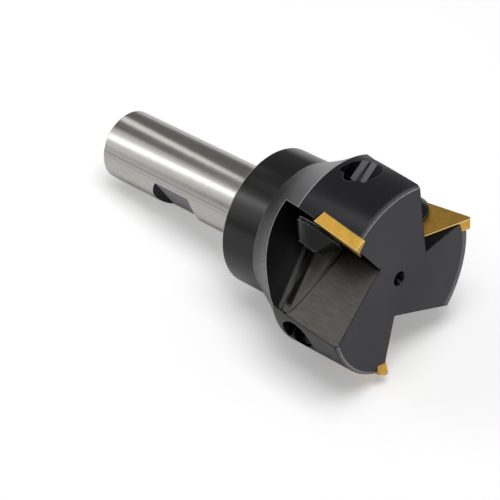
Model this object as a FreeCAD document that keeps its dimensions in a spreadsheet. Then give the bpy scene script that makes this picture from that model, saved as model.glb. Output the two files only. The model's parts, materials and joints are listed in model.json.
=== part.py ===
"""Indexable end mill: a turned and milled body, three triangular inserts and their clamp screws.

Everything is worked out in the body's own frame first. Its Z axis is the tool's axis and points
towards the cutting end, z = 0 is the rim of the front face, and the first tooth's gullet floor
runs along X. The finished pieces are then laid on the floor, in the way that the tool comes to
rest: on both edges of one gullet at the front, and on the end of the shank.
"""
import FreeCAD, Part
import Sketcher
import math
import os

Vector = FreeCAD.Vector
Rotation = FreeCAD.Rotation
Placement = FreeCAD.Placement

SIZES = {
    # turned body
    "cutting_diameter": 50.8,
    "insert_overhang": 0.51,
    "head_length": 20.05,
    "front_chamfer": 0.74,
    "face_dish": 1.26,
    "flare_length": 12.3,
    "flare_hollow_radius": 60.0,
    "collar_diameter": 36.44,
    "collar_end": 43.07,
    "collar_chamfer": 0.4,
    "shank_diameter": 19.05,
    "shank_length": 52.85,
    "shank_chamfer": 0.8,
    "centre_mouth_diameter": 4.0,
    "centre_pilot_diameter": 1.6,
    "centre_pilot_depth": 2.0,
    "centre_half_angle": 30.0,
    # clamping flat on the shank
    "flat_depth": 1.95,
    "flat_front": 20.73,
    "flat_length": 11.9,
    "flat_wall_angle": 45.0,
    "flat_turn": 6.8,
    # gullets
    "tooth_count": 3,
    "axial_rake": 7.8,
    "seat_wall_offset": 1.53,
    "gullet_floor_depth": 9.75,
    "gullet_floor_rise": 9.7,
    "gullet_floor_length": 16.5,
    "gullet_end_radius": 15.4,
    # inserts and their seats
    "insert_circle": 9.525,
    "insert_thickness": 3.175,
    "insert_relief": 11.0,
    "insert_corner_facet": 1.0,
    "insert_edge_hone": 0.1,
    "insert_stand": 0.5,
    "insert_projection": 1.2,
    "seat_clearance": 0.02,
    # clamp screws
    "clamp_head_diameter": 12.7,
    "clamp_top_diameter": 6.3,
    "clamp_head_height": 5.6,
    "clamp_rim": 1.0,
    "clamp_tilt": 3.0,
    "clamp_setback": 3.73,
    "clamp_shift": 2.55,
    "clamp_thread_diameter": 6.0,
    "clamp_thread_chamfer": 0.6,
    "thread_clearance": 0.05,
    "thread_length": 12.0,
    "socket_width": 3.0,
    "socket_depth": 2.2,
    "web_thickness": 14.0,
    "spotface_diameter": 9.0,
    "relief_diameter": 15.2,
    "relief_end_diameter": 12.2,
    "relief_length": 22.0,
    "relief_shift": 0.95,
}

# Half the corner of a triangular insert, in degrees. A hexagonal socket's corners are as far
# round from the middles of its flats.
HALF_CORNER = 30

# Angle from X of the first down direction that the resting place is looked for from.
FIRST_DOWN = 60

# How finely the resting place is worked out, and what counts as touching there.
FACET = 0.02
TOUCH = 1e-6


class Dim:
    """A size as a number, and as the formula that the document keeps for it."""

    def __init__(self, number, formula):
        self.number = float(number)
        self.formula = formula

    def joined(self, other, sign, number):
        return Dim(number, "({} {} {})".format(self.formula, sign, as_dim(other).formula))

    def __add__(self, other):
        return self.joined(other, "+", self.number + as_dim(other).number)

    def __sub__(self, other):
        return self.joined(other, "-", self.number - as_dim(other).number)

    def __mul__(self, other):
        return self.joined(other, "*", self.number * as_dim(other).number)

    def __truediv__(self, other):
        return self.joined(other, "/", self.number / as_dim(other).number)

    def __neg__(self):
        return as_dim(-1) * self


def as_dim(value):
    return value if isinstance(value, Dim) else Dim(value, repr(value))


def sin(angle):
    return Dim(math.sin(math.radians(angle.number)), "sin({})".format(angle.formula))


def cos(angle):
    return Dim(math.cos(math.radians(angle.number)), "cos({})".format(angle.formula))


def tan(angle):
    return Dim(math.tan(math.radians(angle.number)), "tan({})".format(angle.formula))


def root(value):
    return Dim(math.sqrt(value.number), "sqrt({})".format(value.formula))


document = FreeCAD.newDocument("end_mill")
sheet = document.addObject("Spreadsheet::Sheet", "sizes")
size = {}
for row, (alias, number) in enumerate(SIZES.items(), start=1):
    sheet.set("A{}".format(row), alias)
    sheet.set("B{}".format(row), str(number))
    sheet.setAlias("B{}".format(row), alias)
    size[alias] = Dim(number, "sizes.{}".format(alias))
document.recompute()

ZERO = as_dim(0)
half_corner = as_dim(HALF_CORNER)

# Radii, and stations along the axis, from the front rim backwards
cutting_radius = size["cutting_diameter"] / 2
head_radius = cutting_radius - size["insert_overhang"]
collar_radius = size["collar_diameter"] / 2
shank_radius = size["shank_diameter"] / 2
head_back = -size["head_length"]
flare_back = head_back - size["flare_length"]
collar_back = -size["collar_end"]
shank_back = collar_back - size["shank_length"]

# The rake face stands proud of the seat wall, and is parallel to it
rake = size["axial_rake"]
rake_offset = size["seat_wall_offset"] + size["insert_stand"] / cos(rake)

# Place of the insert in its rake plane: along the plane from z = 0, and out from the tool's axis
insert_inradius = size["insert_circle"] / 2
insert_side = size["insert_circle"] / tan(half_corner)
facet = size["insert_corner_facet"]
nose_end = size["insert_projection"] / cos(rake)
insert_middle = nose_end - insert_side / 2 + facet / 2
edge_front = insert_middle + insert_side / 2 - facet
edge_side = rake_offset + edge_front * sin(rake)
edge_out = root(cutting_radius * cutting_radius - edge_side * edge_side)
insert_out = edge_out - insert_inradius

# Place of the clamp screw's axis in the insert's frame: behind the side that it overlaps
clamp_back = (insert_inradius + size["clamp_setback"]) * cos(half_corner)
clamp_back = clamp_back + size["clamp_shift"] * sin(half_corner)
clamp_along = insert_middle - clamp_back
clamp_inward = (insert_inradius + size["clamp_setback"]) * sin(half_corner)
clamp_out = insert_out - clamp_inward + size["clamp_shift"] * cos(half_corner)
clamp_side = rake_offset + clamp_along * sin(rake)
clamp_station = clamp_along * cos(rake)


def origin_plane(body, role):
    for feature in body.Origin.OriginFeatures:
        if feature.Role == role:
            return feature
    raise ValueError("no origin plane " + role)


def new_sketch(body, name, role, base=(ZERO, ZERO, ZERO), axis=None, turn=ZERO):
    """A sketch on one of the body's origin planes, moved and turned in that plane's own frame."""
    sketch = body.newObject("Sketcher::SketchObject", name)
    sketch.AttachmentSupport = (origin_plane(body, role), [""])
    sketch.MapMode = "FlatFace"
    if axis is not None:
        sketch.AttachmentOffset = Placement(Vector(), Rotation(axis, turn.number))
        sketch.setExpression("AttachmentOffset.Rotation.Angle", turn.formula)
    for letter, distance in zip("xyz", base):
        if distance is not ZERO:
            sketch.setExpression("AttachmentOffset.Base." + letter, distance.formula)
    return sketch


def hold(sketch, kind, *place, distance):
    """Adds a dimension to the sketch and ties it to its formula."""
    index = sketch.addConstraint(Sketcher.Constraint(kind, *place, distance.number))
    sketch.setExpression("Constraints[{}]".format(index), distance.formula)


def fix_point(sketch, line, end, x, y):
    """Holds one end of a line at x, y from the sketch's origin."""
    for kind, axis, distance in (("DistanceX", -2, x), ("DistanceY", -1, y)):
        if distance is ZERO:
            sketch.addConstraint(Sketcher.Constraint("PointOnObject", line, end, axis))
        else:
            hold(sketch, kind, -1, 1, line, end, distance=distance)


def add_line(sketch, start, end):
    points = [Vector(x.number, y.number, 0) for x, y in (start, end)]
    return sketch.addGeometry(Part.LineSegment(*points))


def add_hollow(sketch, start, end, radius):
    """An arc from start to end. Its centre lies on the left of the way there."""
    first, last = [Vector(x.number, y.number, 0) for x, y in (start, end)]
    chord = last - first
    left = Vector(-chord.y, chord.x, 0).normalize()
    centre = (first + last) / 2 + left * math.sqrt(radius.number ** 2 - (chord.Length / 2) ** 2)
    circle = Part.Circle(centre, Vector(0, 0, 1), radius.number)
    arc = sketch.addGeometry(Part.ArcOfCircle(circle, circle.parameter(first), circle.parameter(last)))
    hold(sketch, "Radius", arc, distance=radius)
    return arc


def closed_outline(sketch, corners, hollows={}):
    """Lines from corner to corner, each corner held from the sketch's origin.

    A corner whose index is in hollows starts an arc of that radius instead of a line.
    """
    sides = []
    for index, (start, end) in enumerate(zip(corners, corners[1:] + corners[:1])):
        if index in hollows:
            sides.append(add_hollow(sketch, start, end, hollows[index]))
        else:
            sides.append(add_line(sketch, start, end))
    for side, following in zip(sides, sides[1:] + sides[:1]):
        sketch.addConstraint(Sketcher.Constraint("Coincident", side, 2, following, 1))
    for side, (x, y) in zip(sides, corners):
        fix_point(sketch, side, 1, x, y)


def new_body(name):
    body = document.addObject("PartDesign::Body", name)
    body.Label = name
    return body


def revolve(body, name, kind, sketch, axis):
    feature = body.newObject(kind, name)
    feature.Profile = sketch
    feature.ReferenceAxis = (sketch, [axis])
    feature.Angle = 360
    return feature


def extrude(body, name, kind, sketch, length, reverse=False):
    feature = body.newObject(kind, name)
    feature.Profile = sketch
    feature.Reversed = reverse
    feature.setExpression("Length", length.formula)
    return feature


def centre_hole(end, inward):
    """Corners of a centre hole's half section, from its bottom to its mouth."""
    pilot = size["centre_pilot_diameter"] / 2
    mouth = size["centre_mouth_diameter"] / 2
    slope = tan(size["centre_half_angle"])
    seat = end + (mouth - pilot) / slope * inward
    bottom = seat + size["centre_pilot_depth"] * inward
    return [(ZERO, bottom + pilot * slope * inward), (pilot, bottom), (pilot, seat), (mouth, end)]


def turned_blank(body):
    mouth = size["centre_mouth_diameter"] / 2
    dish_radius = head_radius - size["front_chamfer"]
    mouth_level = size["face_dish"] * (mouth / dish_radius - 1)
    front = centre_hole(mouth_level, -1)
    back = centre_hole(shank_back, 1)
    corners = front + [
        (dish_radius, ZERO),
        (head_radius, -size["front_chamfer"]),
        (head_radius, head_back),
        (collar_radius, flare_back),
        (collar_radius, collar_back + size["collar_chamfer"]),
        (collar_radius - size["collar_chamfer"], collar_back),
        (shank_radius, collar_back),
        (shank_radius, shank_back + size["shank_chamfer"]),
        (shank_radius - size["shank_chamfer"], shank_back),
    ] + back[::-1]
    flare = corners.index((head_radius, head_back))
    sketch = new_sketch(body, "turned_section", "XZ_Plane")
    closed_outline(sketch, corners, {flare: size["flare_hollow_radius"]})
    return revolve(body, "turned_blank", "PartDesign::Revolution", sketch, "V_Axis")


def gullet_pocket(body):
    """The gullet's floor and run-out, milled along the floor from the seat wall outwards."""
    rise = size["gullet_floor_rise"]
    radius = size["gullet_end_radius"]
    front = nose_end
    outside = -(cutting_radius + radius)
    floor_front = front * tan(rise) - size["gullet_floor_depth"]
    floor_end = -size["gullet_floor_length"]
    floor_back = floor_end * tan(rise) - size["gullet_floor_depth"]
    middle_y = floor_back - radius * cos(rise)
    middle_z = floor_end + radius * sin(rise)
    run_out = (middle_y, middle_z - radius)
    sketch = new_sketch(body, "gullet_section", "YZ_Plane", (ZERO, ZERO, size["seat_wall_offset"]),
                        Vector(1, 0, 0), rake)
    corners = [(outside, front), (floor_front, front), (floor_back, floor_end), run_out,
               (outside, run_out[1])]
    opening = add_line(sketch, corners[0], corners[1])
    floor = add_line(sketch, corners[1], corners[2])
    circle = Part.Circle(Vector(middle_y.number, middle_z.number, 0), Vector(0, 0, 1), radius.number)
    turn = math.radians(rise.number)
    arc = sketch.addGeometry(Part.ArcOfCircle(circle, -math.pi / 2, -turn))
    end = add_line(sketch, corners[3], corners[4])
    side = add_line(sketch, corners[4], corners[0])
    for first, last in (((opening, 2), (floor, 1)), ((end, 2), (side, 1)), ((side, 2), (opening, 1))):
        sketch.addConstraint(Sketcher.Constraint("Coincident", *first, *last))
    sketch.addConstraint(Sketcher.Constraint("Tangent", floor, 2, arc, 2))
    sketch.addConstraint(Sketcher.Constraint("Tangent", arc, 1, end, 1))
    hold(sketch, "Radius", arc, distance=radius)
    fix_point(sketch, opening, 1, *corners[0])
    fix_point(sketch, floor, 1, *corners[1])
    fix_point(sketch, floor, 2, *corners[2])
    fix_point(sketch, side, 1, *corners[4])
    pocket = extrude(body, "gullet", "PartDesign::Pocket", sketch, cutting_radius * 2)
    pocket.UseCustomVector = True
    pocket.Direction = Vector(1, 0, 0)
    return pocket


def seat_pocket(body):
    """The insert's seat: two walls that follow its flanks, open at the front and outside."""
    inradius = insert_inradius - size["insert_stand"] * tan(size["insert_relief"]) + size["seat_clearance"]
    inner = insert_out - inradius * 2
    outer = cutting_radius + size["insert_thickness"]
    half_side = (outer - inner) * tan(half_corner)
    along = insert_middle + size["insert_stand"] * tan(rake)
    sketch = new_sketch(body, "seat_section", "YZ_Plane", (ZERO, ZERO, size["seat_wall_offset"]),
                        Vector(1, 0, 0), rake)
    closed_outline(sketch, [(-inner, along), (-outer, along + half_side), (-outer, along - half_side)])
    depth = size["insert_thickness"] - size["insert_stand"]
    pocket = extrude(body, "seat", "PartDesign::Pocket", sketch, depth)
    pocket.setExpression("TaperAngle", (-size["insert_relief"]).formula)
    return pocket


def clamp_bore(body):
    """The tapped hole and the spotface behind it, on the clamp screw's axis."""
    tap = (size["clamp_thread_diameter"] / 2) + size["thread_clearance"]
    spotface = size["spotface_diameter"] / 2
    web = -size["web_thickness"]
    behind = -cutting_radius
    tilt = -size["clamp_tilt"]
    sketch = new_sketch(body, "clamp_bore_section", "XZ_Plane", (clamp_side, clamp_station, clamp_out),
                        Vector(0, 0, 1), tilt)
    closed_outline(sketch, [
        (behind, ZERO),
        (behind, spotface),
        (web, spotface),
        (web, tap),
        (size["insert_stand"], tap),
        (size["insert_stand"], ZERO),
    ])
    return revolve(body, "clamp_bore", "PartDesign::Groove", sketch, "H_Axis")


def clamp_relief(body):
    """The tapering channel that clears the clamp screw's head, along the gullet floor."""
    shift = size["relief_shift"]
    base = (clamp_side + shift * sin(rake), clamp_station + shift * cos(rake), clamp_out)
    length = size["relief_length"]
    sketch = new_sketch(body, "clamp_relief_section", "XZ_Plane", base, Vector(0, 0, 1), -size["clamp_tilt"])
    closed_outline(sketch, [
        (ZERO, ZERO),
        (ZERO, size["relief_diameter"] / 2),
        (length, size["relief_end_diameter"] / 2),
        (length, ZERO),
    ])
    return revolve(body, "clamp_relief", "PartDesign::Groove", sketch, "H_Axis")


def shank_flat(body):
    """The clamping flat, ground across the shank between two sloping walls."""
    floor = shank_radius - size["flat_depth"]
    slope = tan(size["flat_wall_angle"])
    top = shank_radius + size["shank_chamfer"]
    front = collar_back - size["flat_front"]
    back = front - size["flat_length"]
    spread = (top - floor) * slope
    sketch = new_sketch(body, "flat_section", "XZ_Plane", axis=Vector(0, 1, 0), turn=-size["flat_turn"])
    closed_outline(sketch, [(floor, front), (top, front + spread), (top, back - spread), (floor, back)])
    pocket = extrude(body, "shank_flat", "PartDesign::Pocket", sketch, shank_radius * 2)
    pocket.SideType = "Symmetric"
    return pocket


def cutter_body():
    body = new_body("cutter_body")
    turned_blank(body)
    cuts = [gullet_pocket(body), seat_pocket(body), clamp_bore(body), clamp_relief(body)]
    teeth = body.newObject("PartDesign::PolarPattern", "teeth")
    teeth.Originals = cuts
    teeth.Axis = (origin_plane(body, "Z_Axis"), [""])
    teeth.Angle = 360
    teeth.setExpression("Occurrences", size["tooth_count"].formula)
    body.Tip = teeth
    document.recompute()
    shank_flat(body)
    return body


def insert(name):
    """A triangular insert with no hole and a facet on each corner.

    Its rake face is at z = 0 and its cutting side faces +y.
    """
    body = new_body(name)
    corner = insert_inradius / sin(half_corner)
    side = insert_side / 2
    cut = facet * cos(half_corner)
    sketch = new_sketch(body, name + "_outline", "XY_Plane")
    closed_outline(sketch, [
        (facet - side, insert_inradius),
        (facet / 2 - side, insert_inradius - cut),
        (-facet / 2, cut - corner),
        (facet / 2, cut - corner),
        (side - facet / 2, insert_inradius - cut),
        (side - facet, insert_inradius),
    ])
    blank = extrude(body, name + "_blank", "PartDesign::Pad", sketch, size["insert_thickness"], reverse=True)
    blank.setExpression("TaperAngle", (-size["insert_relief"]).formula)
    document.recompute()
    rake_face = max(range(len(blank.Shape.Faces)), key=lambda i: blank.Shape.Faces[i].CenterOfMass.z)
    hone = body.newObject("PartDesign::Chamfer", name + "_edge")
    hone.Base = (blank, ["Face{}".format(rake_face + 1)])
    hone.setExpression("Size", size["insert_edge_hone"].formula)
    return body


def clamp_screw(name):
    """A screw with a truncated cone for a head. Its underside touches the rake face at z = 0."""
    body = new_body(name)
    slope = tan(size["axial_rake"] - size["clamp_tilt"])
    head = size["clamp_head_diameter"] / 2
    top = size["clamp_top_diameter"] / 2
    thread = size["clamp_thread_diameter"] / 2
    chamfer = size["clamp_thread_chamfer"]
    height = size["clamp_head_height"]
    sketch = new_sketch(body, name + "_section", "XZ_Plane")
    closed_outline(sketch, [
        (ZERO, height),
        (top, height),
        (head, head * slope + size["clamp_rim"]),
        (head, head * slope),
        (thread, thread * slope),
        (thread, chamfer - size["thread_length"]),
        (thread - chamfer, -size["thread_length"]),
        (ZERO, -size["thread_length"]),
    ])
    revolve(body, name + "_turned", "PartDesign::Revolution", sketch, "V_Axis")
    document.recompute()
    flats = size["socket_width"] / 2
    corner = flats / cos(half_corner)
    socket = new_sketch(body, name + "_socket", "XY_Plane", (ZERO, ZERO, height))
    closed_outline(socket, [
        (corner, ZERO),
        (corner / 2, flats),
        (-corner / 2, flats),
        (-corner, ZERO),
        (-corner / 2, -flats),
        (corner / 2, -flats),
    ])
    extrude(body, name + "_drive", "PartDesign::Pocket", socket, size["socket_depth"])
    return body


def tooth_turn(tooth):
    return Placement(Vector(), Rotation(Vector(0, 0, 1), 360 / SIZES["tooth_count"] * tooth))


def seated(along, out, tilt):
    """A place on the rake plane. Its x runs forwards, its y out from the tool, at that tilt."""
    turn = math.radians(tilt.number)
    forwards = Vector(math.sin(turn), 0, math.cos(turn))
    outwards = Vector(0, -1, 0)
    base = Vector((rake_offset + along * sin(rake)).number, -out.number, (along * cos(rake)).number)
    return Placement(base, Rotation(forwards, outwards, forwards.cross(outwards), "ZXY"))


def topple(points, pivot, down, ahead):
    """Turns the down direction about the pivot, towards what lies ahead, until a point touches."""
    def angle(point):
        step = point - pivot
        return math.atan2(-step.dot(down), step.dot(ahead))
    touching = min((point for point in points if (point - pivot).dot(ahead) > TOUCH), key=angle)
    turn = angle(touching)
    return touching, (down * math.cos(turn) + ahead * math.sin(turn)).normalize()


def across(start, end, down, target):
    """The level direction square to an edge, on the target's side of it."""
    level = (end - start).cross(down).normalize()
    return level if level.dot(target - start) > 0 else -level


def resting_direction(points, centre, down):
    """Topples the tool from a first down direction until three points carry its centre."""
    first = max(points, key=lambda point: point.dot(down))
    ahead = centre - first
    ahead = (ahead - down * ahead.dot(down)).normalize()
    second, down = topple(points, first, down, ahead)
    third, down = topple(points, first, down, across(first, second, down, centre))
    while True:
        for start, end, other in ((first, second, third), (second, third, first), (third, first, second)):
            outwards = -across(start, end, down, other)
            if outwards.dot(centre - start) > TOUCH:
                first, second = start, end
                third, down = topple(points, start, down, outwards)
                break
        else:
            return down


def resting_place(shapes):
    """The placement that lays the tool on the floor, along X, with its middle at the origin."""
    points = [point for shape in shapes for point in shape.tessellate(FACET)[0]]
    centre = Part.makeCompound(shapes).CenterOfGravity
    turn = math.radians(FIRST_DOWN)
    down = resting_direction(points, centre, Vector(math.cos(turn), math.sin(turn), 0))
    axis = Vector(0, 0, 1)
    along = (axis - down * axis.dot(down)).normalize()
    turn = Rotation(along, (-down).cross(along), -down, "ZXY").inverted()
    box = Part.makeCompound([shape.transformed(Placement(Vector(), turn).toMatrix()) for shape in shapes])
    box = box.optimalBoundingBox(False)
    return Placement(Vector(-box.Center.x, -box.Center.y, -box.ZMin), turn)


pieces = [cutter_body()]
for tooth in range(SIZES["tooth_count"]):
    tip = insert("insert_{}".format(tooth + 1))
    screw = clamp_screw("clamp_screw_{}".format(tooth + 1))
    tip.Placement = tooth_turn(tooth) * seated(insert_middle, insert_out, rake)
    screw.Placement = tooth_turn(tooth) * seated(clamp_along, clamp_out, size["clamp_tilt"])
    pieces += [tip, screw]
document.recompute()
rest = resting_place([piece.Shape for piece in pieces])
for piece in pieces:
    piece.Placement = rest * piece.Placement
document.recompute()

os.makedirs("parts", exist_ok=True)
for item in document.Objects:
    if "Invalid" in item.State or "Error" in item.State:
        raise RuntimeError("{} failed: {}".format(item.Name, item.State))
for piece in pieces:
    if piece.Shape.isNull() or not piece.Shape.isValid():
        raise RuntimeError(piece.Label + " has no valid shape")
    piece.Shape.exportStep("parts/{}.step".format(piece.Label))
    print(piece.Label, round(piece.Shape.Volume, 2), len(piece.Shape.Solids))
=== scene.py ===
"""Dresses the indexable end mill: finishes, studio and camera."""
import bpy
import json
import math
from mathutils import Matrix, Vector

bl_info = {
    "name": "Indexable End Mill",
    "version": (1, 0, 0),
    "blender": (4, 5, 0),
    "location": "View3D > Sidebar > End Mill",
    "description": "Finishes, studio and camera for an indexable end mill",
    "category": "Add Mesh",
}

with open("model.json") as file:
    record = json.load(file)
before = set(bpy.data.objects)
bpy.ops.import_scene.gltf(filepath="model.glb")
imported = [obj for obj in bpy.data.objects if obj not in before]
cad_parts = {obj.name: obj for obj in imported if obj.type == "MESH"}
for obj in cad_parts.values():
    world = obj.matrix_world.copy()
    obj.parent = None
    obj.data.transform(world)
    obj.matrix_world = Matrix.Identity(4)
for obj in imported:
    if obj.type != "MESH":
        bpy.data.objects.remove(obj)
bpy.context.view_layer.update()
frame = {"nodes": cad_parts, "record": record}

MM = 0.001
TEETH = 3

# Levels along the tool's axis from the rim of the face, and radii, as in the CAD model
HEAD_END = -20.0 * MM
FLARE_END = -32.35 * MM
COLLAR_END = -43.07 * MM
SHANK_RADIUS = 9.525 * MM
COLLAR_RADIUS = 18.22 * MM
HEAD_RADIUS = 24.89 * MM
CHAMFER = 0.74 * MM
DISH_RADIUS = HEAD_RADIUS - CHAMFER

# Turns round the tool's axis: of the tool's own X from the clamping flat, and of the lit side
FLAT_TURN = math.radians(6.8)
LIT_TURN = math.radians(7.098)

# The gullet floors: their tilt, and how far they lie from the middle of the face
FLOOR_RISE = math.radians(9.79)
FLOOR_OUT = 9.608 * MM

# The gullets and the insert seats lie inside this radius, and the seats between these levels
INSIDE_RADIUS = 24.3 * MM
POCKET_LEVELS = (-30.0 * MM, -1.0 * MM)

# The relief along a gullet floor, with a slanting band of painted shade across its back and a strip of
# painted highlight behind that
RELIEF_DEPTH = 4.0 * MM
RELIEF_END = -23.0 * MM
SHADE_BAND_PLACE = -19.15 * MM
SHADE_BAND_SLANT = 0.134
SHADE_BAND_REACH = 18.6 * MM
LIGHT_STRIP_STEP = -1.45 * MM

# The seams round a gullet floor: where they end, and the stretch without them
SEAM_END = -16.5 * MM
BARE_REACH = (8.0 * MM, 20.0 * MM)
BARE_START = -11.0 * MM

# The first spotface bore on the tool, and the turns of the two painted reflections along its wall
BORE_RADIUS = 4.5 * MM
BORE_PLACE = Vector((-7.132, -18.509, -14.653)) * MM
BORE_TILT = math.radians(3.0)
REFLECTION_TURNS = (math.radians(39.0), math.radians(10.95))

# The flare's painted sheen is fainter towards the collar, and a painted dark reflection lies round a turn
# from the lit side
FLARE_FADE = (-32.0 * MM, -26.0 * MM)
FLARE_SHADE_TURN = math.radians(9)
FLARE_SHADE_SPREAD = (math.radians(5), math.radians(42))

# The collar is duller round a turn from the lit side
DULL_TURN = math.radians(-48)
DULL_SPREAD = (math.radians(8), math.radians(30))

# Painted dark reflections along the shank: their turn from the lit side with their strength, and their width
DARK_REFLECTIONS = ((math.radians(-28), 0.85), (math.radians(-34), 0.35), (math.radians(18), 0.25))
DARK_REFLECTION_WIDTH = (math.radians(0.6), math.radians(3.2))

# The far side of the face, lighter with painted reflection: its direction in the scene, where it starts, and
# its rim, which is worn and lighter still with painted reflection
FAR_SIDE = Vector((0.70, 0.64, -0.30))
FAR_START = 5.0 * MM
FAR_RIM = 22.5 * MM

# Tones on the black oxide, from dark to light: its own, worked and worn tones, and painted shade, painted
# reflections and painted highlights
# Near black for the seams, and for painted shade in the hollows and between parts
SEAM_AND_SHADE = (0.002, 0.002, 0.002, 1)
CHAMFER_FOOT = (0.004, 0.004, 0.004, 1)
# Painted shade on the walls of the gullets and the insert seats
POCKET_SHADE = (0.004, 0.004, 0.0045, 1)
# Painted shade across the back of a relief
SHADE_BAND = (0.006, 0.006, 0.006, 1)
FACE_TONE = (0.039, 0.037, 0.047, 1)
# Painted highlight in a strip behind that shade
LIGHT_STRIP = (0.075, 0.075, 0.072, 1)
# Painted reflection on the face's far side
FACE_SHEEN = (0.085, 0.083, 0.092, 1)
RELIEF = (0.098, 0.095, 0.085, 1)
# Painted sheen on the flare
FLARE_SHEEN = (0.105, 0.105, 0.112, 1)
FRONT_RIM = (0.12, 0.12, 0.125, 1)
# Painted reflection on the spotface bore walls
BORE_REFLECTION = (0.19, 0.19, 0.20, 1)
# The worn rim on the face's far side, lighter with painted reflection
WORN_RIM_AND_SHEEN = (0.20, 0.20, 0.21, 1)
RIM_LINE = (0.42, 0.42, 0.43, 1)
# Painted highlight on the collar's back rim
COLLAR_RIM_HIGHLIGHT = (0.50, 0.49, 0.47, 1)
BARE_EDGE = (0.60, 0.60, 0.61, 1)

# Tones on the shank and the clamp screws
# Painted shade on the forward-facing wall of the clamping flat
NOTCH_SHADE = (0.02, 0.02, 0.022, 1)
CLAMPING_FLAT = (0.30, 0.29, 0.31, 1)
# Painted dark reflection along the shank
DARK_REFLECTION_TONE = (0.36, 0.35, 0.34, 1)
SHANK_EDGE = (1.0, 1.0, 0.98, 1)
SCREW_EDGE = (0.65, 0.65, 0.65, 1)

# Strength of the room's light on the tool, and of the floor's own glow to the camera
ROOM_LIGHT = 0.22
FLOOR_GLOW = 0.29

# Lamps: azimuth and elevation in degrees, distance, width and height in metres, radiance
LAMPS = {
    "key": (-146, 28, 0.7, 0.08, 0.3, 2.4),
    "upper": (-172, 54, 0.8, 0.16, 0.13, 2.3),
    "right": (32, 15, 0.9, 0.8, 0.3, 0.8),
    "halo": (-147, 21, 0.8, 0.5, 0.6, 0.71),
}
OVERHEAD = (0, 85, 0.8, 0.5, 0.5, 4.4)

# A small lamp close to the shank, and the level on the tool that it is aimed at
STRIP = (161, 38, 0.12, 0.026, 0.07, 1.0)
STRIP_PLACE = -70.0 * MM


def mount(name):
    """Place and direction of one of the record's mounts."""
    entry = next(m for m in frame["record"]["mounts"] if m["name"] == name)
    return Vector(entry["pos_m"]), Vector(entry["axis"]).normalized()


def tool_frame():
    """The middle of the front face, and the tool's own X, Y and Z directions in the scene."""
    on_axis, backwards = mount("shank")
    on_collar, _ = mount("collar_face")
    _, flat_normal = mount("clamping_flat")
    axis = -backwards
    collar = on_axis + axis * (on_collar - on_axis).dot(axis)
    across = Matrix.Rotation(FLAT_TURN, 3, axis) @ flat_normal
    return collar - axis * COLLAR_END, across, axis.cross(across), axis


FACE, TOOL_X, TOOL_Y, TOOL_Z = tool_frame()

# The side of the tool that faces the key lamp, and the direction across it
LIT = TOOL_X * math.sin(LIT_TURN) - TOOL_Y * math.cos(LIT_TURN)
LIT_UP = LIT.cross(TOOL_Z)


def tooth_turn(tooth):
    return Matrix.Rotation(math.tau / TEETH * tooth, 3, TOOL_Z)


class FinishSettings(bpy.types.PropertyGroup):
    """Colours and roughness of the tool's finishes."""
    oxide: bpy.props.FloatVectorProperty(
        name="Black Oxide", description="Colour of the blackened head", subtype="COLOR",
        size=3, min=0, max=1, default=(0.010, 0.0095, 0.012))
    collar: bpy.props.FloatVectorProperty(
        name="Collar", description="Colour of the smooth collar", subtype="COLOR",
        size=3, min=0, max=1, default=(0.010, 0.0095, 0.0095))
    floor: bpy.props.FloatVectorProperty(
        name="Gullet Floor", description="Colour of the milled gullet floors", subtype="COLOR",
        size=3, min=0, max=1, default=(0.115, 0.110, 0.096))
    ground: bpy.props.FloatVectorProperty(
        name="Ground Steel", description="Colour of the bright shank", subtype="COLOR",
        size=3, min=0, max=1, default=(0.60, 0.585, 0.55))
    gold: bpy.props.FloatVectorProperty(
        name="Insert Coating", description="Colour of the inserts' coating", subtype="COLOR",
        size=3, min=0, max=1, default=(0.98, 0.56, 0.10))
    gold_edge: bpy.props.FloatVectorProperty(
        name="Insert Edges", description="Colour of the inserts' honed edges", subtype="COLOR",
        size=3, min=0, max=1, default=(1.0, 0.90, 0.42))
    screw: bpy.props.FloatVectorProperty(
        name="Clamp Screws", description="Colour of the clamp screws", subtype="COLOR",
        size=3, min=0, max=1, default=(0.006, 0.006, 0.0065))


class StudioSettings(bpy.types.PropertyGroup):
    """Camera, floor and lamps."""
    lens: bpy.props.FloatProperty(
        name="Lens", description="Focal length on a 36 mm wide sensor", min=1, default=147.88)
    target: bpy.props.FloatVectorProperty(
        name="Target", description="Point that the camera looks at", subtype="XYZ", unit="LENGTH",
        size=3, default=(0.003015, -0.008059, 0.011341))
    distance: bpy.props.FloatProperty(
        name="Distance", description="From the target to the camera", unit="LENGTH", default=0.51804)
    azimuth: bpy.props.FloatProperty(
        name="Azimuth", description="Turn of the camera about the vertical", subtype="ANGLE",
        default=math.radians(-47.912))
    elevation: bpy.props.FloatProperty(
        name="Elevation", description="Angle of the camera above the floor", subtype="ANGLE",
        default=math.radians(45.266))
    roll: bpy.props.FloatProperty(
        name="Roll", description="Tilt of the picture", subtype="ANGLE", default=math.radians(1.591))
    floor_size: bpy.props.FloatProperty(
        name="Floor Size", description="Width of the floor", unit="LENGTH", default=6.0)


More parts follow.
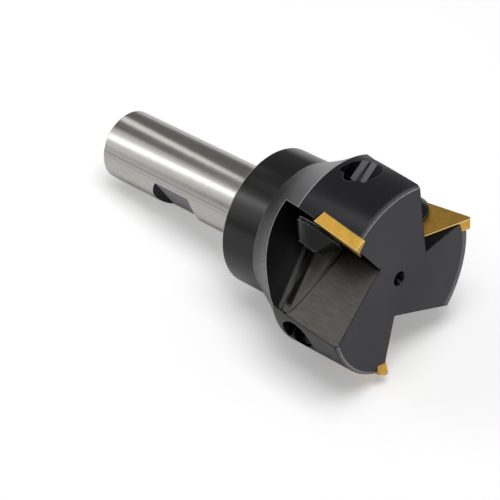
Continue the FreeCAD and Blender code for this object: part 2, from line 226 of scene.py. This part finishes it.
class Nodes:
    """A short way to build a material's node tree."""

    def __init__(self, material):
        material.use_nodes = True
        self.tree = material.node_tree
        self.tree.nodes.clear()

    def add(self, kind, inputs=None, **settings):
        node = self.tree.nodes.new(kind)
        for name, value in settings.items():
            setattr(node, name, value)
        for name, value in (inputs or {}).items():
            self.put(node.inputs[name], value)
        return node

    def put(self, socket, value):
        if isinstance(value, bpy.types.NodeSocket):
            self.tree.links.new(value, socket)
        else:
            socket.default_value = value

    def math(self, operation, *values, clamp=False):
        node = self.add("ShaderNodeMath", operation=operation, use_clamp=clamp)
        for socket, value in zip(node.inputs, values):
            self.put(socket, value)
        return node.outputs[0]

    def vector(self, operation, *values, output="Vector"):
        node = self.add("ShaderNodeVectorMath", operation=operation)
        for socket, value in zip(node.inputs, values):
            self.put(socket, value)
        return node.outputs[output]

    def dot(self, first, second):
        return self.vector("DOT_PRODUCT", first, second, output="Value")

    def step(self, value, low, high, start=0.0, end=1.0):
        node = self.add("ShaderNodeMapRange", {"Value": value, "From Min": low, "From Max": high,
                                               "To Min": start, "To Max": end})
        node.interpolation_type = "SMOOTHSTEP"
        return node.outputs["Result"]

    def mix(self, factor, first, second):
        node = self.add("ShaderNodeMix", data_type="RGBA")
        self.put(node.inputs["Factor"], factor)
        self.put(node.inputs[6], first)
        self.put(node.inputs[7], second)
        return node.outputs[2]

    def blend(self, factor, first, second):
        node = self.add("ShaderNodeMix", data_type="FLOAT")
        self.put(node.inputs["Factor"], factor)
        self.put(node.inputs[2], first)
        self.put(node.inputs[3], second)
        return node.outputs[0]

    def product(self, first, *others):
        """Where every one of the masks is one."""
        for other in others:
            first = self.math("MULTIPLY", first, other)
        return first

    def largest(self, first, *others):
        """Where any one of the masks is one."""
        for other in others:
            first = self.math("MAXIMUM", first, other)
        return first

    def rest(self, mask):
        """Where the mask is zero."""
        return self.math("SUBTRACT", 1.0, mask)

    def past(self, value, level, soft=0.2 * MM):
        """One past a level, with a soft border."""
        return self.step(value, level, level + soft)

    def before(self, value, level, soft=0.2 * MM):
        """One before a level, with a soft border."""
        return self.step(value, level, level + soft, 1.0, 0.0)

    def line(self, value, middle, core, half):
        """One on a line, full over its core and gone at half its width."""
        away = self.math("ABSOLUTE", self.math("SUBTRACT", value, middle))
        return self.step(away, core, half, 1.0, 0.0)

    def scale(self, vector, factor):
        inputs = {"Vector": vector, "Scale": factor}
        return self.add("ShaderNodeVectorMath", inputs, operation="SCALE").outputs[0]

    def coats(self, tone, layers):
        """A colour with other colours laid over it in order, each under its own mask."""
        for mask, coat in layers:
            tone = self.mix(mask, tone, coat)
        return tone

    def bump(self, height, rounded, strength, distance):
        return self.add("ShaderNodeBump", {"Height": height, "Normal": rounded, "Strength": strength,
                                           "Distance": distance}).outputs[0]

    def openness(self, distance):
        """One where nothing stands within a distance, and less in a hollow."""
        return self.add("ShaderNodeAmbientOcclusion", {"Distance": distance}, samples=8).outputs["AO"]

    def combine(self, x, y, z):
        return self.add("ShaderNodeCombineXYZ", {"X": x, "Y": y, "Z": z}).outputs[0]

    def noise(self, vector, scale, detail, roughness):
        node = self.add("ShaderNodeTexNoise", {"Vector": vector, "Scale": scale, "Detail": detail,
                                               "Roughness": roughness})
        return node.outputs["Fac"]

    def place(self):
        return self.add("ShaderNodeTexCoord").outputs["Object"]

    def normal(self):
        return self.add("ShaderNodeNewGeometry").outputs["True Normal"]

    def edge(self, radius, sharpness=0.06):
        """One on the edges of the piece and zero on its faces, and the rounded normal."""
        bevel = self.add("ShaderNodeBevel", {"Radius": radius}, samples=8)
        bend = self.math("SUBTRACT", 1.0, self.dot(bevel.outputs[0], self.normal()))
        return self.step(bend, 0.004, sharpness), bevel.outputs[0]

    def finish(self, inputs):
        shader = self.add("ShaderNodeBsdfPrincipled", inputs)
        output = self.add("ShaderNodeOutputMaterial")
        self.tree.links.new(shader.outputs[0], output.inputs["Surface"])


def colour(value):
    return (*value, 1.0)


class Body:
    """Where a point of the body lies on the tool, and the masks and textures of its finishes and of its
    painted light and shade.
    """

    def __init__(self, nodes):
        self.nodes = nodes
        self.offset = nodes.vector("SUBTRACT", nodes.place(), FACE)
        self.x, self.y, self.z = [nodes.dot(self.offset, way) for way in (TOOL_X, TOOL_Y, TOOL_Z)]
        squares = nodes.math("ADD", nodes.product(self.x, self.x), nodes.product(self.y, self.y))
        self.out = nodes.math("SQRT", squares)
        self.normal = nodes.normal()
        self.forward = nodes.dot(self.normal, TOOL_Z)
        self.turn = nodes.math("ARCTAN2", nodes.dot(self.offset, LIT_UP), nodes.dot(self.offset, LIT))
        self.edge, self.rounded = nodes.edge(0.25 * MM)
        self.grain()
        self.gullets()
        self.parts()
        self.bores()

    def grain(self):
        """Noise: clouds and specks in the oxide, turned, ground and milled marks."""
        nodes = self.nodes
        self.cloud = nodes.noise(nodes.place(), 90.0, 4.0, 0.6)
        self.speck = nodes.noise(nodes.place(), 2600.0, 2.0, 0.7)
        self.turned = nodes.noise(nodes.combine(nodes.product(self.z, 40.0), self.out, 0.0), 260.0, 3.0, 0.7)
        self.rings = nodes.noise(nodes.combine(nodes.product(self.out, 30.0), 0.0, 0.0), 120.0, 3.0, 0.7)
        shank_end = nodes.before(self.forward, -0.95, 0.05)
        round_shank = nodes.math("ARCTAN2", self.y, self.x)
        across = nodes.blend(shank_end, round_shank, nodes.product(self.out, 300.0))
        marks = nodes.combine(nodes.product(self.z, 1500.0), nodes.product(across, 2.0), 0.0)
        self.ground = nodes.noise(marks, 2.0, 4.0, 0.7)
        marks = nodes.combine(nodes.product(self.z, 120.0), nodes.product(self.x, 1800.0),
                              nodes.product(self.y, 1800.0))
        self.milled = nodes.noise(marks, 1.0, 3.0, 0.65)

    def gullets(self):
        """Masks on the three gullets: floors, reliefs with a band of painted shade and a strip of painted
        highlight behind, and seams.
        """
        nodes = self.nodes
        masks = []
        for tooth in range(TEETH):
            along = tooth_turn(tooth) @ TOOL_X
            up = tooth_turn(tooth) @ (TOOL_Z * math.sin(FLOOR_RISE) - TOOL_Y * math.cos(FLOOR_RISE))
            height = nodes.math("SUBTRACT", nodes.dot(self.offset, up), FLOOR_OUT)
            facing = nodes.dot(self.normal, up)
            reach = nodes.dot(self.offset, along)
            back = nodes.dot(self.offset, TOOL_Z - along * SHADE_BAND_SLANT)
            behind = nodes.math("SUBTRACT", back, SHADE_BAND_PLACE)
            floor = nodes.product(nodes.step(facing, 0.985, 0.995),
                                  nodes.line(height, 0.0, 0.04 * MM, 0.08 * MM))
            relief = nodes.product(nodes.step(facing, 0.80, 0.97), nodes.before(height, -0.1 * MM, 0.06 * MM),
                                   nodes.past(height, -RELIEF_DEPTH, 0.5 * MM))
            # A band of painted shade across the relief's back, and a strip of painted highlight behind it
            shade_band = nodes.product(nodes.line(behind, 0.0, 0.5 * MM, 1.1 * MM), relief,
                                   nodes.before(reach, SHADE_BAND_REACH, 1.4 * MM))
            light_strip = nodes.product(nodes.line(behind, LIGHT_STRIP_STEP, 0.3 * MM, 0.6 * MM),
                                  nodes.step(facing, 0.6, 0.8), nodes.line(height, 0.0, 0.8 * MM, 1.0 * MM))
            nearest, farthest = BARE_REACH
            bare = nodes.product(nodes.past(reach, nearest, 1.5 * MM),
                                 nodes.before(reach, farthest, 1.0 * MM),
                                 nodes.before(self.z, BARE_START, 2.0 * MM))
            beside = nodes.product(nodes.line(height, 0.0, 0.4 * MM, 0.55 * MM), nodes.rest(bare))
            masks.append((floor, relief, shade_band, light_strip, beside))
        floors, reliefs, shade_bands, light_strips, besides = [nodes.largest(*kind) for kind in zip(*masks)]
        inside = nodes.product(nodes.before(self.out, INSIDE_RADIUS, 0.3 * MM),
                               nodes.past(self.z, RELIEF_END, 0.5 * MM))
        wide_edge, _ = nodes.edge(0.45 * MM, 0.02)
        self.floors = floors
        self.reliefs = nodes.product(reliefs, inside)
        self.shade_bands = shade_bands
        self.light_strips = nodes.product(light_strips, inside)
        self.seams = nodes.product(wide_edge, besides, nodes.past(self.z, SEAM_END, 1.0 * MM), 0.95)

    def parts(self):
        """Masks of the shank, the collar, the flare's painted sheen, the face, the pockets' walls for painted
        shade, and the clamping flat.
        """
        nodes = self.nodes
        self.shank = nodes.before(self.z, COLLAR_END - 0.25 * MM, 0.05 * MM)
        self.collar = nodes.before(self.z, FLARE_END + 0.75 * MM)
        self.face = nodes.step(self.forward, 0.97, 0.985)
        worked = nodes.largest(self.floors, self.reliefs, self.face)
        cut = nodes.largest(nodes.past(self.forward, 0.05, 0.05),
                            nodes.before(self.out, INSIDE_RADIUS, 0.3 * MM))
        # The pockets' walls get painted shade: near black and less glossy
        lowest, highest = POCKET_LEVELS
        self.shaded_pocket = nodes.product(
            cut, nodes.past(self.z, lowest, 0.5 * MM), nodes.before(self.z, highest, 0.15 * MM),
            nodes.past(self.forward, -0.2, 0.05), nodes.rest(worked))
        # The flare's lighter grey is painted sheen, fainter towards the collar, with a painted dark
        # reflection round a turn from the lit side
        shade_side = nodes.math("ABSOLUTE", nodes.math("SUBTRACT", self.turn, FLARE_SHADE_TURN))
        self.flare_sheen = nodes.product(
            nodes.before(self.z, HEAD_END - 0.4 * MM), nodes.past(self.z, FLARE_END - 0.05 * MM),
            nodes.past(self.forward, -0.75, 0.05), nodes.before(self.forward, -0.2, 0.05),
            nodes.step(self.z, *FLARE_FADE, 0.2, 1.0), nodes.step(shade_side, *FLARE_SHADE_SPREAD, 0.35, 1.0))
        _, flat_normal = mount("clamping_flat")
        self.flat = nodes.product(nodes.step(nodes.dot(self.normal, flat_normal), 0.995, 0.999),
                                  nodes.before(self.out, SHANK_RADIUS - 0.225 * MM), self.shank)

    def bores(self):
        """Mask of two painted reflections that run along the wall of each spotface bore."""
        nodes = self.nodes
        place = TOOL_X * BORE_PLACE.x + TOOL_Y * BORE_PLACE.y + TOOL_Z * BORE_PLACE.z
        axis = TOOL_X * math.cos(BORE_TILT) - TOOL_Z * math.sin(BORE_TILT)
        ahead = TOOL_X * math.sin(BORE_TILT) + TOOL_Z * math.cos(BORE_TILT)
        painted_reflections = []
        for tooth in range(TEETH):
            turn = tooth_turn(tooth)
            arm = nodes.vector("SUBTRACT", self.offset, turn @ place)
            away = nodes.vector("LENGTH", nodes.vector("CROSS_PRODUCT", arm, turn @ axis), output="Value")
            wall = nodes.line(away, BORE_RADIUS, 0.05 * MM, 0.1 * MM)
            for angle in REFLECTION_TURNS:
                reflecting_normal = ahead * math.sin(angle) - TOOL_Y * math.cos(angle)
                facing = nodes.dot(self.normal, turn @ reflecting_normal)
                painted_reflections.append(nodes.product(wall, nodes.step(facing, 0.979, 0.995)))
        self.painted_reflections = nodes.largest(*painted_reflections)

    def rims(self):
        """Coats on the head's rims and on the seams of the gullet floors, and a painted highlight on the
        collar's rim.
        """
        nodes = self.nodes
        front = nodes.product(nodes.past(self.out, DISH_RADIUS - 0.2 * MM, 0.25 * MM),
                              nodes.past(self.z, -0.95 * MM, 0.1 * MM),
                              nodes.step(self.speck, 0.25, 0.6, 0.35, 1.0))
        inner = nodes.product(nodes.line(self.out, DISH_RADIUS, 0.08 * MM, 0.2 * MM),
                              nodes.past(self.z, -0.4 * MM, 0.1 * MM),
                              nodes.step(self.speck, 0.3, 0.6, 0.3, 0.9))
        self.foot = nodes.product(nodes.line(self.z, -CHAMFER, 0.08 * MM, 0.2 * MM),
                                  nodes.past(self.out, HEAD_RADIUS - 0.39 * MM), 0.8)
        head = nodes.product(nodes.line(self.z, HEAD_END, 0.1 * MM, 0.2 * MM),
                             nodes.past(self.out, HEAD_RADIUS - 0.29 * MM), 0.6)
        edges = nodes.product(
            self.edge, nodes.step(self.z, HEAD_END + 0.1 * MM, HEAD_END + 0.4 * MM, 1.0, 0.12))
        # Painted highlight on the collar's back rim
        collar = nodes.product(nodes.before(self.z, COLLAR_END + 0.37 * MM, 0.1 * MM),
                               nodes.past(self.out, COLLAR_RADIUS - 0.62 * MM), 0.8)
        return ((front, FRONT_RIM), (inner, RIM_LINE), (self.foot, CHAMFER_FOOT), (self.seams, SEAM_AND_SHADE),
                (head, BARE_EDGE), (edges, BARE_EDGE), (collar, COLLAR_RIM_HIGHLIGHT))

    def oxide(self, finish):
        """Colour of the black head and collar, with painted shade in the hollows and between parts."""
        nodes = self.nodes
        # Painted reflection on the far side of the face, and its worn rim there lighter still
        face_sheen = nodes.product(self.face, nodes.past(nodes.dot(self.offset, FAR_SIDE), FAR_START, 9.0 * MM))
        rim_wear_and_sheen = nodes.product(face_sheen, nodes.past(self.out, FAR_RIM, 0.4 * MM),
                                nodes.step(self.speck, 0.25, 0.65, 0.4, 1.0))
        tone = nodes.coats(colour(finish.oxide), (
            (self.collar, colour(finish.collar)), (self.shaded_pocket, POCKET_SHADE), (self.face, FACE_TONE),
            (self.flare_sheen, FLARE_SHEEN), (nodes.product(face_sheen, 0.25), FACE_SHEEN), (rim_wear_and_sheen, WORN_RIM_AND_SHEEN),
            (self.reliefs, RELIEF), (self.light_strips, LIGHT_STRIP), (nodes.product(self.shade_bands, 0.95), SHADE_BAND),
            (self.floors, colour(finish.floor))))
        tone = nodes.scale(tone, nodes.math("MULTIPLY_ADD", self.cloud, 0.36, 0.82))
        grain = nodes.product(nodes.blend(self.floors, self.speck, self.milled),
                              nodes.blend(self.floors, 0.6, 1.1))
        tone = nodes.scale(tone, nodes.math("ADD", grain, nodes.blend(self.floors, 0.7, 0.45)))
        tone = nodes.coats(tone, self.rims())
        # Painted shade: near black where the openness is low, in the hollows and where parts meet
        hollow = nodes.step(nodes.openness(9.0 * MM), 0.25, 0.95, 0.02, 1.0)
        self.shade = nodes.product(nodes.step(nodes.openness(1.5 * MM), 0.3, 0.95),
                                   nodes.largest(self.reliefs, hollow))
        # Painted reflections on the bore walls, laid over the painted shade
        return nodes.mix(self.painted_reflections, nodes.mix(self.shade, SEAM_AND_SHADE, tone), BORE_REFLECTION)

    def steel(self, finish):
        """Colour of the ground shank, with painted dark reflections along it, the milled clamping flat, and
        painted shade on the flat's forward-facing wall.
        """
        nodes = self.nodes
        worn = colour([part * 0.86 for part in finish.ground])
        tone = nodes.mix(nodes.step(self.ground, 0.3, 0.7), worn, colour(finish.ground))
        reflection_coats = []
        # Painted dark reflections, laid along the shank at turns from the lit side
        for turn, strength in DARK_REFLECTIONS:
            line = nodes.line(self.turn, turn, *DARK_REFLECTION_WIDTH)
            reflection_coats.append((nodes.product(line, strength), DARK_REFLECTION_TONE))
        edge = nodes.product(self.edge, nodes.past(self.out, SHANK_RADIUS - 0.525 * MM, 0.3 * MM))
        # The notch coat is painted shade on the flat's forward-facing wall
        return nodes.coats(tone, (*reflection_coats, (self.flat, CLAMPING_FLAT),
                                  (nodes.step(self.forward, 0.03, 0.08), NOTCH_SHADE), (edge, SHANK_EDGE)))

    def roughness(self):
        nodes = self.nodes
        rough = nodes.blend(self.collar, 0.27, 0.20)
        rough = nodes.blend(self.floors, rough, 0.42)
        rough = nodes.blend(self.face, rough, 0.45)
        rough = nodes.math("ADD", rough, nodes.math("MULTIPLY_ADD", self.cloud, 0.06, -0.03))
        rough = nodes.blend(self.shank, rough, nodes.step(self.ground, 0.2, 0.8, 0.19, 0.25))
        return nodes.blend(self.flat, rough, 0.6)

    def gloss(self):
        """Specular level: low in the hollows, in the seams and on the face."""
        nodes = self.nodes
        dull_side = nodes.math("ABSOLUTE", nodes.math("SUBTRACT", self.turn, DULL_TURN))
        collar = nodes.step(dull_side, *DULL_SPREAD, 0.27, 0.40)
        level = nodes.blend(self.face, nodes.blend(self.collar, 0.35, collar), 0.26)
        dull = nodes.largest(self.seams, self.shade_bands, self.foot)
        level = nodes.product(level, self.shade, nodes.rest(dull), nodes.blend(self.shaded_pocket, 1.0, 0.45))
        return nodes.largest(self.shank, level)

    def height(self):
        """Height of the marks: milled floors, rings on the face, turned collar and ground shank."""
        nodes = self.nodes
        height = nodes.blend(self.floors, nodes.product(self.speck, 0.35), self.milled)
        height = nodes.blend(self.face, height, self.rings)
        height = nodes.blend(self.collar, height, self.turned)
        return nodes.blend(self.shank, height, nodes.product(self.ground, 0.5))


def body_material(finish):
    material = bpy.data.materials.new("oxide_and_ground_steel")
    nodes = Nodes(material)
    body = Body(nodes)
    base = nodes.mix(body.shank, body.oxide(finish), body.steel(finish))
    nodes.finish({"Base Color": base, "Metallic": body.shank, "Roughness": body.roughness(), "IOR": 1.6,
                  "Specular IOR Level": body.gloss(),
                  "Normal": nodes.bump(body.height(), body.rounded, 0.25, 0.02 * MM)})
    return material


def insert_material(finish):
    material = bpy.data.materials.new("gold_coating")
    nodes = Nodes(material)
    edge, rounded = nodes.edge(0.22 * MM, 0.04)
    cloud = nodes.noise(nodes.place(), 220.0, 3.0, 0.6)
    grind = nodes.noise(nodes.vector("MULTIPLY", nodes.place(), (900.0, 5200.0, 900.0)), 1.0, 3.0, 0.7)
    deep_gold = colour([part * 0.78 for part in finish.gold])
    gold = nodes.mix(nodes.step(cloud, 0.3, 0.75), deep_gold, colour(finish.gold))
    nodes.finish({"Base Color": nodes.mix(edge, gold, colour(finish.gold_edge)),
                  "Metallic": nodes.blend(edge, 0.9, 0.3),
                  "Roughness": nodes.step(grind, 0.2, 0.8, 0.32, 0.46),
                  "Normal": nodes.bump(grind, rounded, 0.2, 0.01 * MM)})
    return material


def screw_material(finish):
    material = bpy.data.materials.new("screw_oxide")
    nodes = Nodes(material)
    edge, rounded = nodes.edge(0.16 * MM)
    cloud = nodes.noise(nodes.place(), 300.0, 4.0, 0.6)
    darker, lighter = [colour([part * share for part in finish.screw]) for share in (0.7, 1.5)]
    base = nodes.mix(nodes.product(edge, 0.7), nodes.mix(cloud, darker, lighter), SCREW_EDGE)
    nodes.finish({"Base Color": base, "Roughness": nodes.step(cloud, 0.2, 0.8, 0.22, 0.30), "IOR": 1.34,
                  "Normal": nodes.bump(cloud, rounded, 0.1, 0.02 * MM)})
    return material


def dress(names, material):
    """Gives the nodes one material in all their slots."""
    for name in names:
        for slot in frame["nodes"][name].material_slots:
            slot.material = material


def named(prefix):
    return [name for name in frame["nodes"] if name.startswith(prefix)]


class ENDMILL_OT_body(bpy.types.Operator):
    """Finish the turned and milled body"""
    bl_idname = "endmill.body"
    bl_label = "Finish Body"

    def execute(self, context):
        dress(["cutter_body"], body_material(context.scene.endmill_finish))
        return {"FINISHED"}


class ENDMILL_OT_inserts(bpy.types.Operator):
    """Coat the cutting inserts"""
    bl_idname = "endmill.inserts"
    bl_label = "Coat Inserts"

    def execute(self, context):
        dress(named("insert_"), insert_material(context.scene.endmill_finish))
        return {"FINISHED"}


class ENDMILL_OT_screws(bpy.types.Operator):
    """Blacken the clamp screws"""
    bl_idname = "endmill.screws"
    bl_label = "Blacken Clamp Screws"

    def execute(self, context):
        dress(named("clamp_screw_"), screw_material(context.scene.endmill_finish))
        return {"FINISHED"}


def floor_material():
    """A pale diffuse floor with a glow that only the camera sees. It keeps the shadow."""
    material = bpy.data.materials.new("studio_floor")
    nodes = Nodes(material)
    diffuse = nodes.add("ShaderNodeBsdfDiffuse", {"Color": (0.98, 0.98, 0.98, 1)})
    glow = nodes.add("ShaderNodeEmission", {"Color": (1, 1, 1, 1)})
    path = nodes.add("ShaderNodeLightPath")
    nodes.put(glow.inputs["Strength"], nodes.product(path.outputs["Is Camera Ray"], FLOOR_GLOW))
    both = nodes.add("ShaderNodeAddShader")
    nodes.put(both.inputs[0], diffuse.outputs[0])
    nodes.put(both.inputs[1], glow.outputs[0])
    output = nodes.add("ShaderNodeOutputMaterial")
    nodes.put(output.inputs["Surface"], both.outputs[0])
    return material


def aim(item, place, target, roll=0.0):
    turn = (target - place).to_track_quat("-Z", "Y").to_matrix().to_4x4()
    item.matrix_world = Matrix.Translation(place) @ turn @ Matrix.Rotation(roll, 4, "Z")


def towards(azimuth, elevation):
    """The direction from the object to a viewer, azimuth counted as in the camera's settings."""
    return Vector((math.cos(azimuth) * math.cos(elevation), math.sin(azimuth) * math.cos(elevation),
                   math.sin(elevation)))


def softbox(name, target, azimuth, elevation, distance, width, height, radiance):
    lamp = bpy.data.lights.new(name, "AREA")
    lamp.shape = "RECTANGLE"
    lamp.size = width
    lamp.size_y = height
    lamp.energy = radiance * math.pi * width * height
    item = bpy.data.objects.new(name, lamp)
    bpy.context.scene.collection.objects.link(item)
    aim(item, target + towards(math.radians(azimuth), math.radians(elevation)) * distance, target)
    return item


def studio_world():
    """White to the camera alone. In reflections and as light it is a soft grey room."""
    world = bpy.data.worlds.new("studio")
    bpy.context.scene.world = world
    world.use_nodes = True
    tree = world.node_tree
    tree.nodes.clear()
    path = tree.nodes.new("ShaderNodeLightPath")
    strength = tree.nodes.new("ShaderNodeMapRange")
    strength.inputs["To Min"].default_value = ROOM_LIGHT
    strength.inputs["To Max"].default_value = 1.0
    background = tree.nodes.new("ShaderNodeBackground")
    output = tree.nodes.new("ShaderNodeOutputWorld")
    tree.links.new(path.outputs["Is Camera Ray"], strength.inputs["Value"])
    tree.links.new(strength.outputs[0], background.inputs["Strength"])
    tree.links.new(background.outputs[0], output.inputs["Surface"])


class ENDMILL_OT_stage(bpy.types.Operator):
    """Set up the floor, lamps, world and camera"""
    bl_idname = "endmill.stage"
    bl_label = "Set Stage"

    def execute(self, context):
        studio = context.scene.endmill_studio
        scene = context.scene
        bpy.ops.mesh.primitive_plane_add(size=studio.floor_size)
        floor = context.object
        floor.name = "studio_floor"
        floor.data.materials.append(floor_material())
        studio_world()
        target = Vector(studio.target)
        for name, lamp in LAMPS.items():
            softbox(name, target, *lamp)
        strip = softbox("strip", FACE + TOOL_Z * STRIP_PLACE, *STRIP)
        strip.visible_camera = False
        softbox("overhead", target, *OVERHEAD)
        lens = bpy.data.cameras.new("camera")
        lens.lens = studio.lens
        lens.sensor_width = 36.0
        camera = bpy.data.objects.new("camera", lens)
        scene.collection.objects.link(camera)
        place = target + towards(studio.azimuth, studio.elevation) * studio.distance
        aim(camera, place, target, studio.roll)
        scene.camera = camera
        scene.view_settings.view_transform = "Standard"
        return {"FINISHED"}


class ENDMILL_PT_panel(bpy.types.Panel):
    """Lists the steps in the sidebar"""
    bl_label = "End Mill"
    bl_idname = "ENDMILL_PT_panel"
    bl_space_type = "VIEW_3D"
    bl_region_type = "UI"
    bl_category = "End Mill"

    def draw(self, context):
        for settings in (context.scene.endmill_finish, context.scene.endmill_studio):
            for name in settings.bl_rna.properties.keys():
                if name not in {"rna_type", "name"}:
                    self.layout.prop(settings, name)
        for step in STEPS:
            self.layout.operator("endmill." + step)


STEPS = ("body", "inserts", "screws", "stage")
CLASSES = (FinishSettings, StudioSettings, ENDMILL_OT_body, ENDMILL_OT_inserts, ENDMILL_OT_screws,
           ENDMILL_OT_stage, ENDMILL_PT_panel)


def register():
    for item in CLASSES:
        bpy.utils.register_class(item)
    bpy.types.Scene.endmill_finish = bpy.props.PointerProperty(type=FinishSettings)
    bpy.types.Scene.endmill_studio = bpy.props.PointerProperty(type=StudioSettings)


def unregister():
    del bpy.types.Scene.endmill_studio
    del bpy.types.Scene.endmill_finish
    for item in reversed(CLASSES):
        bpy.utils.unregister_class(item)


def main():
    register()
    for step in STEPS:
        getattr(bpy.ops.endmill, step)()


if __name__ == "__main__":
    main()
